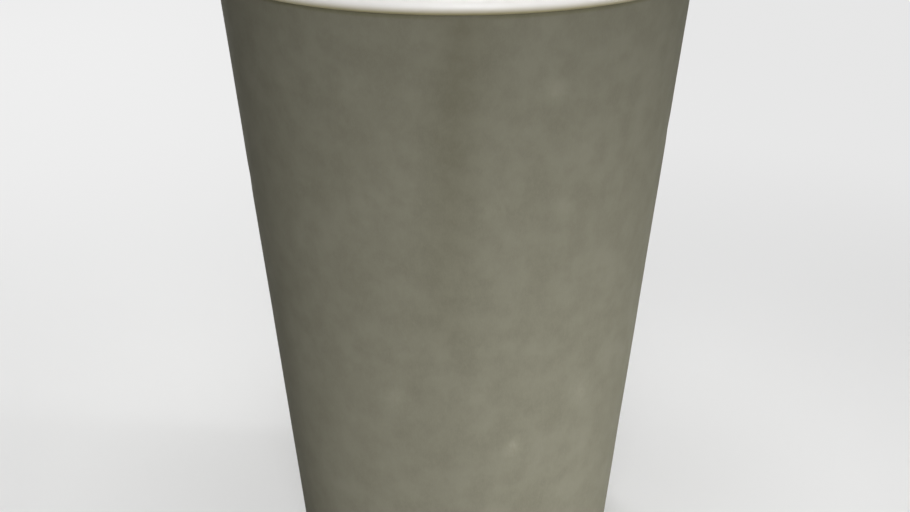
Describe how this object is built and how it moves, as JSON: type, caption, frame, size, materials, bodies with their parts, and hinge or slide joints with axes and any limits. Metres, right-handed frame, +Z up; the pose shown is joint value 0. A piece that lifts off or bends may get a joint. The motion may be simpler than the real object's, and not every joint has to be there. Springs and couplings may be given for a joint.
{
  "type": "used paper coffee cup",
  "caption": "Single-wall paper cup for hot drinks, tapered, with a curled rim, a lapped side seam, a folded-in foot and a recessed floor; empty, used and slightly marked.",
  "frame": {"origin": "centre of the foot ring on the surface the cup stands on; the cup's own axis is the Z axis", "axes": "+Z up along the cup's axis, from the foot to the mouth; -Y is the front in the picture, with +X to its right; the side seam is on the back left"},
  "size_m": [0.09, 0.09, 0.11],
  "materials": {
    "side_wall_board": "matt olive-grey printed board outside, faintly mottled, creased and scuffed; smooth white lining inside and on the curled rim",
    "base_board": "smooth white lining above with dried coffee marks; bare off-white board below"
  },
  "bodies": {
    "root": {"side_wall": "side_wall_board", "base_disc": "base_board"}
  },
  "joints": []
}
